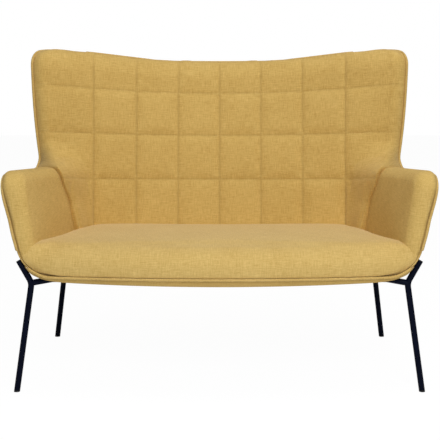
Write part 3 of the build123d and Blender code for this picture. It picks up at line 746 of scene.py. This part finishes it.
def border_band():
    """Border below the front piping: a rounded section round the strip between its edge and the seam."""
    x = (2 * crowded(150, 0.3) - 1) * (border_tip[0] - border_end)
    high = front_seam_height(x) - 0.0005
    fade = smooth((border_tip[0] - border_end + 0.002 - np.abs(x)) / 0.022)
    low = high - 0.003 - np.maximum(high - border_low(x), 0) * fade
    middle, half = (low + high) / 2, (high - low) / 2
    turns = np.linspace(0, 2 * pi, 28, endpoint=False)[:, None]
    thick = border_depth / 2 * np.clip((border_tip[0] - np.abs(x)) / 0.12, 0.25, 1)
    swell = np.sign(np.cos(turns)) * np.abs(np.cos(turns)) ** 0.55
    stand = np.sign(np.sin(turns)) * np.abs(np.sin(turns)) ** 0.45
    z = middle + half * stand
    y = ring_y(x, border_stand + thick) - thick * swell + border_lean * (high - z)
    rows = np.stack((np.broadcast_to(x, z.shape), y, z), axis=-1)
    closed = np.transpose(rows, (1, 0, 2))
    return capped(closed)


def wall_width(y, z):
    """Half width at the arm's inner side, which goes straight on behind its end."""
    return hollow.half_width(np.clip(y, arm_front_y, arm_end_y), z)


def arm_wall(y, z):
    """Half width of the arm's inner side, with the round of its front edge."""
    front = arm_front_y + arm_edge_round
    turned = np.clip((front - y) / arm_edge_round, 0, 1)
    return wall_width(y, z) + arm_edge_round * (1 - np.sqrt(1 - turned ** 2))


def arm_pad():
    """Right arm: from the piping over the front and top face, round the inner edge and down the inner side.
    The inner side runs straight from the rounded edge to the line along the seat and up the back."""
    first = int(np.argmax(rim[:, 1] > soft_foot_z))
    last = int(np.argmax(rim[:, 0] > notch_y - 0.004))
    line = resampled(rim[first:last], 110)
    y, z, normal_y, normal_z = line.T
    cover = cord_cover * smooth((notch_y - y) / 0.05) * (0.2 + 0.8 * smooth((0.645 - z) / 0.08))
    outer = side_width(y, z, 0.0025 + cover + arm_tuck * arm_share(y, z))
    inner = np.minimum(wall_width(y, z) + arm_edge_round, outer - 0.001)
    face = crowded(16)[:, None]
    reach = (outer - inner) * face
    lift = (0.002 * np.sin(pi * face) - 0.5 * curl(reach)
            - arm_crown * arm_share(y, z) * (1 - np.sqrt(1 - (1 - face) ** 2)))
    x = np.concatenate(((outer + cover)[None], outer + (inner - outer) * face))
    lift = np.concatenate((lift[:1] - flap, lift))
    face_rows = np.stack((x, y + normal_y * lift, z + normal_z * lift), axis=-1)
    turns = np.linspace(0, pi / 2, 12)[1:, None]
    drop = arm_edge_round * (1 - np.cos(turns))
    round_y, round_z = y - normal_y * drop, z - normal_z * drop
    x = wall_width(round_y, round_z) + arm_edge_round * (1 - np.sin(turns))
    round_rows = np.stack((x, round_y, round_z), axis=-1)
    start = np.stack((round_y[-1], round_z[-1]), axis=-1)
    corner = np.array(((arm_end_y, start[0, 1]), (arm_end_y, start[-1, 1])))
    end = resampled(np.vstack((start[:1], corner)), len(start))
    share = np.linspace(0, 1, 30)[1:, None, None]
    wall = start + (end - start) * share
    swell = 0.004 * np.sin(pi * share[..., 0]) * np.sin(pi * np.linspace(0, 1, len(start)))
    x = wall_width(wall[..., 0], wall[..., 1]) - swell
    wall_rows = np.stack((x, wall[..., 0], wall[..., 1]), axis=-1)
    points = np.concatenate((face_rows, round_rows, wall_rows))
    painted_shade_marks = np.zeros(points.shape[:2])
    # Painted shade in the crease beside the piping: the flap row is darkened fully, and the face's outer edge fades
    # over a few millimetres.
    painted_shade_marks[1:len(face) + 1] = np.exp(-(reach / 0.004) ** 2)
    painted_shade_marks[0] = 1
    beside = points[..., 0] - wall_width(points[..., 1], points[..., 2])
    cloth = np.stack((points[..., 1] + beside * normal_y, points[..., 2] + beside * normal_z), axis=-1)
    return points, painted_shade_marks, cloth


def seat_pad():
    """Bench seat: a front that rises, rolls over and runs back, as wide at each row as the arms leave room."""
    low = np.linspace(seat_foot_z, seat_front_z, 4)[:-1]
    turns = np.linspace(0, pi / 2, 18)
    share = np.linspace(0, 1, 40)[1:]
    behind = np.concatenate((np.full(3, 0.0), seat_front_round * (1 - np.cos(turns)),
                             seat_front_round + (seat_depth - seat_front_round) * share))
    z = np.concatenate((low, seat_front_z + (seat_crown_z - seat_front_z) * np.sin(turns),
                        seat_crown_z + (seat_rear_z - seat_crown_z) * share ** 1.5
                        + 4 * seat_rise * share * (1 - share)))
    side_behind, side_z = behind.copy(), z.copy()
    roll = slice(3, 3 + len(turns))
    side_behind[roll] = seat_front_round * (1 - np.cos(turns) ** 0.5)
    side_z[roll] = seat_front_z + (seat_crown_z - seat_front_z) * np.sin(turns) ** 0.5
    half = np.full_like(z, 0.56)
    for _ in range(8):
        half = arm_wall(ring_y(half, side_behind), np.maximum(side_z, soft_foot_z)) + 0.002
    outer = side_width(np.full_like(side_z, arm_front_y), side_z, 0.0055 + 0.004 * smooth((side_z - 0.385) / 0.04))
    half += (outer - half) * (1 - smooth((side_z - seat_merge_z) / 0.02)) * (side_behind < seat_front_round)
    half = np.minimum(half, outer)
    across = 2 * crowded(120, 0.45) - 1
    x = half[:, None] * across
    edge = half[:, None] - np.abs(x)
    square = smooth(1 - edge / seat_square_width)
    behind, z = (part[:, None] for part in (behind, z))
    z = z + (side_z[:, None] - z) * square
    y = ring_y(x, behind + (side_behind[:, None] - behind) * square)
    flush = (arm_front_y - 0.0008 - ring_y(half, 0.0)) * np.clip(1 - side_behind / 0.05, 0, 1)
    y += square ** 2 * flush[:, None]
    run = np.clip((behind - 0.08) / (seat_depth - 0.07), 0, 1)
    sink = seat_side_sink * np.sin(pi * run) * np.exp(-edge / seat_sink_width)
    y += 0.0028 * np.exp(-(z - seat_foot_z) / 0.004)
    # Painted shade along both side edges, where the seat meets the arms, fading out towards the front.
    painted_shade_marks = smooth(run / 0.1) * np.exp(-(edge / 0.004) ** 2)
    rear = (seat_depth - behind) / 0.05
    free = smooth(edge / 0.03) * smooth(behind / 0.03 + 0 * x) * smooth(rear)
    lowered = seat_swell * 0.6 * free * smooth(behind / 0.06)
    return np.stack((x, y, z - sink - lowered * (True)), axis=-1), painted_shade_marks, free


def pad_height(across, up):
    """Swell of a quilted pad over its cell, both places from -1 to 1, flat in the middle and low at the seams."""
    return (1 - np.abs(across) ** pad_power) * (0.15 + 0.85 * (1 - np.abs(up) ** pad_power))


def quilted_back():
    """Right half of the quilted back. Rows lie in planes tilted further back towards the top; across a row the
    surface follows a bow, swells in each pad, and rounds the wing's front edge to the piping."""
    rises, ups, heights = [], [], []
    for low, high in zip(row_shares, row_shares[1:]):
        cell = crowded(30)[:-1]
        rises.append(low + (high - low) * cell)
        ups.append(2 * cell - 1)
    share = np.append(np.concatenate(rises), 1.0)
    up = np.append(np.concatenate(ups), 1.0)
    in_top_row = share > row_shares[-2]
    top_puff = np.interp(share, (row_shares[-2], 0.88, 1.0), (0.0, 1.0, 0.35))
    centre_y = seat_line[0] + (quilt_head[0] - seat_line[0]) * share
    centre_z = seat_line[1] + (quilt_head[1] - seat_line[1]) * share
    tilt = quilt_tilts[0] + (quilt_tilts[1] - quilt_tilts[0]) * share
    bow = 1 / (1 / quilt_bows[0] + (1 / quilt_bows[1] - 1 / quilt_bows[0]) * share)
    turned = np.clip((share - roll_share) / (1 - roll_share), 0, 1)
    recess = roll_depth * (1 - np.sqrt(1 - turned ** 2))
    start = np.array(((arm_end_y + 0.0005, 0.3), (arm_end_y + 0.0005, rim_height(arm_end_y + 0.0005))))
    border = resampled(np.vstack((start, rim[arm_end + 1:wing_end + 1, :2])), 1500)
    rising = ((border[:, 1][:, None] - centre_z) * np.cos(tilt) + (border[:, 0][:, None] - centre_y) * np.sin(tilt))
    at = np.argmin(np.abs(rising), axis=0)
    end_y, end_z = border[at, 0], border[at, 1]
    end_y = np.convolve(np.pad(end_y, 1, "edge"), (0.25, 0.5, 0.25), "valid")
    outer = shell.half_width(end_y, end_z, 0.0042)
    end = (end_y - centre_y) / np.cos(tilt)
    wing = smooth((end_z - 0.6) / 0.06)
    thickness = arm_side_thickness + (wing_thickness - arm_side_thickness) * wing
    bulge = wing_bulge * wing
    inner = outer - thickness
    root = (1 + 1.1 * smooth((end_z - 0.5) / 0.1)) * (1 - smooth((end_z - 0.605) / 0.11))
    inner_end = end - bulge * 0.3 - arm_side_lean * root

    def sunk(x):
        return np.sqrt(bow[:, None] ** 2 - x ** 2) - bow[:, None] + recess[:, None]

    xs, depths, pads, across_cells = [], [], [], []
    for column in range(pads_each_side):
        cell = crowded(22)[:-1]
        x = np.broadcast_to(column_width * (column + cell), (len(share), len(cell)))
        xs.append(x)
        depths.append(sunk(x))
        across_cells.append(np.broadcast_to(2 * cell - 1, x.shape))
        pads.append(np.ones_like(x))
    seam_x = column_width * pads_each_side
    cell = crowded(30)[:-1]
    reach = (inner - seam_x)[:, None]
    x = seam_x + reach * cell
    first = sunk(np.full((len(share), 1), seam_x))
    slope = -seam_x / np.sqrt(bow[:, None] ** 2 - seam_x ** 2)
    last = inner_end[:, None]
    slope = np.maximum(slope, 1.6 * (last - first) / reach)
    last_slope = 1.15 * (last - first) / reach
    curve = ((2 * cell ** 3 - 3 * cell ** 2 + 1) * first + (cell ** 3 - 2 * cell ** 2 + cell) * reach * slope
             + (3 * cell ** 2 - 2 * cell ** 3) * last + (cell ** 3 - cell ** 2) * reach * last_slope)
    xs.append(x)
    depths.append(curve)
    across_cells.append(np.broadcast_to(np.where(cell < 0.5, 2 * cell - 1, (2 * cell - 1) * 0.8), x.shape))
    pads.append(np.broadcast_to(1 - 0.5 * smooth(cell * 1.5 - 0.5), x.shape))
    turn = np.linspace(0, 1, 18)
    x = inner[:, None] + thickness[:, None] * turn
    depths.append(inner_end[:, None] * (1 - turn) + end[:, None] * turn
                  - bulge[:, None] * 4 * turn * (1 - turn) + curl((1 - turn) * thickness[:, None] * 2.4) * 1.2)
    xs.append(x)
    across_cells.append(np.full_like(x, 0.75))
    pads.append(np.broadcast_to(0.5 * (1 - turn), x.shape))
    x, depth, cells, pads = (np.concatenate(part, axis=1) for part in (xs, depths, across_cells, pads))
    rows_up = np.broadcast_to(up[:, None], x.shape)
    swell = pad_height(cells, rows_up)
    swell = np.where(in_top_row[:, None], (1 - np.abs(cells) ** pad_power) * top_puff[:, None] * 0.8
                     + 0.2 * top_puff[:, None], swell)
    row_height = np.diff(row_shares).mean() * (quilt_head[1] - seat_line[1])
    up_gap = (1 - np.abs(rows_up)) * row_height / 2
    up_gap = np.where(in_top_row[:, None] & (rows_up > 0), 1.0, up_gap)
    across_gap = np.full_like(x, 1.0)
    for column in range(pads_each_side + 1):
        across_gap = np.minimum(across_gap, np.abs(x - column_width * column))
    fade = pads ** 0.5
    groove = np.maximum(np.exp(-(across_gap / stitch_width) ** 2) * (1 - 0.6 * turned[:, None]),
                        np.exp(-(up_gap / stitch_width) ** 2) * fade * level_seam)
    along = steps_along(np.stack((x, depth), axis=-1), 1)
    pucker = np.zeros_like(x)
    for wave in (0.021, 0.013, 0.034):
        phase = random.uniform(0, 2 * pi, 4)
        pucker += (np.exp(-up_gap / 0.014) * np.sin(2 * pi * along / wave + phase[0] + 9 * share[:, None]) * fade
                   + np.exp(-across_gap / 0.014) * np.sin(2 * pi * centre_z[:, None] / wave + phase[1] + 9 * x))
    depth = depth + channel_depth * (1 - swell * pads) + stitch_depth * groove + 0.00028 * pucker
    y = centre_y[:, None] + depth * np.cos(tilt)[:, None]
    z = centre_z[:, None] - depth * np.sin(tilt)[:, None]
    over = (z - rim_height(y) + 0.003) / 0.004
    near_top = smooth((share - 0.7) / 0.1)[:, None] * smooth((y - 0.2) / 0.04)
    z -= 0.004 * np.logaddexp(0, np.clip(over, -20, 4)) * near_top
    front = np.stack((x, y, z), axis=-1)
    station_tip = shell.station(end_y[-1], end_z[-1])
    station = 3 - (3 - station_tip) * np.linspace(0, 1, 300)
    edge_z = top_height(station, cord_inset)
    edge_x, edge_y, _ = shell.point(station, edge_z, cord_inset)
    edge = np.stack((edge_x, edge_y, edge_z - seam_curl), axis=-1)
    edge_length = steps_along(edge, 0)
    front_length = steps_along(front[-1], 0)
    places = front_length / front_length[-1] * edge_length[-1]
    edge = np.stack([np.interp(places, edge_length, part) for part in edge.T], axis=-1)
    over = np.linspace(0, 1, 12)[1:, None, None]
    crown = np.array((0.0, 0.0, 0.003)) * np.sin(pi * over ** 0.7)
    strip = front[-1] * (1 - over) + edge * over + crown * smooth(1 - places / places[-1])[:, None]
    half = np.concatenate((front, strip))
    # Painted shade: half the stitch groove darkens the weave, and the last two columns at the wing's edge, beside the
    # piping, are darkened in full.
    groove = 0.5 * groove
    groove[:, -2:] = wing[:, None]
    painted_shade_marks = np.concatenate((groove, np.zeros(strip.shape[:2])))
    ease = 1 - smooth((share - 0.9) / 0.1)[:, None]
    border_gap = np.minimum(share[:, None] * 0.6, np.linspace(1.6, 0, x.shape[1])[None, :])
    free = np.minimum(smooth(np.minimum(up_gap, across_gap) / 0.006), smooth(border_gap / 0.03)) * ease
    free = np.concatenate((free, np.zeros(strip.shape[:2])))
    return both_halves(half, painted_shade_marks), np.concatenate((free[:, :0:-1], free), axis=1)


def dust_cloth():
    """Thin cloth under the seat, level, with its front edge bowed like the front."""
    low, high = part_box("dust_cover")
    x = np.linspace(low[0], high[0], 60)
    front = ring_y(x, 0.012)
    share = np.linspace(0, 1, 30)[:, None]
    y = front + (high[1] - front) * share
    sag = -0.0008 * np.sin(pi * share) * np.sin(pi * (x - low[0]) / (high[0] - low[0]))
    return np.stack((np.broadcast_to(x, y.shape), y, low[2] + 0.0003 + sag), axis=-1)


(back_points, back_painted_shade), back_free = quilted_back()
back_points = swollen(back_points, back_free, quilt_swell, quilt_spare, 1)
back = grid_mesh("quilted_back", back_points, weave, seam=back_painted_shade, thickness=cover_thickness)
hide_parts("quilted_back_cover", "back_foam")

seat_points, seat_painted_shade, seat_free = seat_pad()
seat_points = swollen(seat_points, seat_free, seat_swell, seat_spare, 1)
seat = grid_mesh("bench_seat", seat_points, seat_weave_painted_lit, seam=seat_painted_shade, thickness=cover_thickness,
                 levels=1)
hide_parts("seat_cover", "seat_foam")

arm, arm_painted_shade, arm_cloth = arm_pad()
places = np.indices(arm_painted_shade.shape) / (np.array(arm_painted_shade.shape)[:, None, None] - 1)
arm_free = np.prod(smooth((0.5 - np.abs(places - 0.5)) / 0.08), axis=0)
arm = swollen(arm, arm_free, arm_swell, arm_spare, 1)
arm_cover = outside_arm()
for side, turn_over in (("right", False), ("left", True)):
    shape = mirrored if turn_over else np.array
    pad = grid_mesh("arm_pad_" + side, shape(arm), arm_weave_painted_lit, seam=arm_painted_shade, cloth=arm_cloth,
                    flip=turn_over, thickness=cover_thickness, levels=1)
    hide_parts("arm_cover_" + side, "arm_foam_" + side)
    cover = grid_mesh("outside_arm_" + side, shape(arm_cover), weave, flip=not turn_over,
                      thickness=cover_thickness, levels=1)
    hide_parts("outside_arm_cover_" + side)

outside = grid_mesh("outside_back", outside_back(), weave, thickness=cover_thickness, levels=1)
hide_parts("outside_back_cover")

cord = grid_mesh("rim_cord", rim_cord(), piping_weave, round_columns=True)
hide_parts("rim_piping")
front_welt = grid_mesh("front_cord", front_cord(), piping_weave, round_columns=True)
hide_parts("front_piping")
band = grid_mesh("lower_border", border_band(), weave, round_columns=True)
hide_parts("front_border")

cloth = grid_mesh("dust_cloth", dust_cloth(), finishes["dust_cloth"], thickness=0.0006)
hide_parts("dust_cover")

# Floor, light and camera
floor_mesh = bpy.data.meshes.new("floor")
floor_mesh.from_pydata([(-8, -8, 0), (8, -8, 0), (8, 8, 0), (-8, 8, 0)], [], [(0, 1, 2, 3)])
floor = bpy.data.objects.new("floor", floor_mesh)
bpy.context.scene.collection.objects.link(floor)
floor_shader = Shader("pale_floor")
path_kind = floor_shader.tree.nodes.new("ShaderNodeLightPath")
seen = Value(floor_shader, path_kind.outputs["Is Camera Ray"])
glow = floor_shader.node("Emission", None, Color=(1.0, 1.0, 1.0, 1.0), Strength=1.03)
floor_shader.set(Base_Color=(0.9, 0.9, 0.9, 1.0), Roughness=0.9)
plain = Value(floor_shader, floor_shader.surface.outputs[0])
shown = floor_shader.node("MixShader", None, seen * 0.94, plain, glow)
floor_shader.tree.links.new(shown.socket, floor_shader.tree.nodes["Material Output"].inputs[0])
floor_mesh.materials.append(floor_shader.material)

world = bpy.data.worlds.new("studio")
bpy.context.scene.world = world
world.use_nodes = True
nodes, links = world.node_tree.nodes, world.node_tree.links
rays = nodes.new("ShaderNodeLightPath")
clear = nodes.new("ShaderNodeMath")
clear.operation = "MAXIMUM"
links.new(rays.outputs["Is Camera Ray"], clear.inputs[0])
links.new(rays.outputs["Is Transmission Ray"], clear.inputs[1])
strength = nodes.new("ShaderNodeMapRange")
strength.inputs["To Min"].default_value = 0.175
strength.inputs["To Max"].default_value = 1.0
links.new(clear.outputs[0], strength.inputs["Value"])
background = nodes["Background"]
background.inputs["Color"].default_value = (1.0, 1.0, 1.0, 1.0)
links.new(strength.outputs["Result"], background.inputs["Strength"])


def soft_light(name, place, target, size, power):
    """Square lamp that faces a point."""
    lamp = bpy.data.lights.new(name, "AREA")
    lamp.size = size
    lamp.energy = power
    holder = bpy.data.objects.new(name, lamp)
    holder.location = place
    aim = np.array(target) - np.array(place)
    holder.rotation_euler = (np.arctan2(np.hypot(aim[0], aim[1]), -aim[2]), 0.0, np.arctan2(-aim[0], aim[1]))
    bpy.context.scene.collection.objects.link(holder)


soft_light("key", (0.45, -3.1, 2.25), (0.0, 0.0, 0.5), 1.5, 71.0)
soft_light("top", (0.3, -0.3, 3.2), (0.0, 0.0, 0.4), 2.0, 33.0)

camera_data = bpy.data.cameras.new("camera")
camera_data.lens = 87.2
camera_data.sensor_width = 36.0
camera_data.shift_x = 0.0011
camera = bpy.data.objects.new("camera", camera_data)
camera.location = (0.0, -3.395, 1.057)
camera.rotation_euler = (pi / 2 - radians(9.84), 0.0, 0.0)
bpy.context.scene.collection.objects.link(camera)
bpy.context.scene.camera = camera
bpy.context.scene.view_settings.view_transform = "Standard"
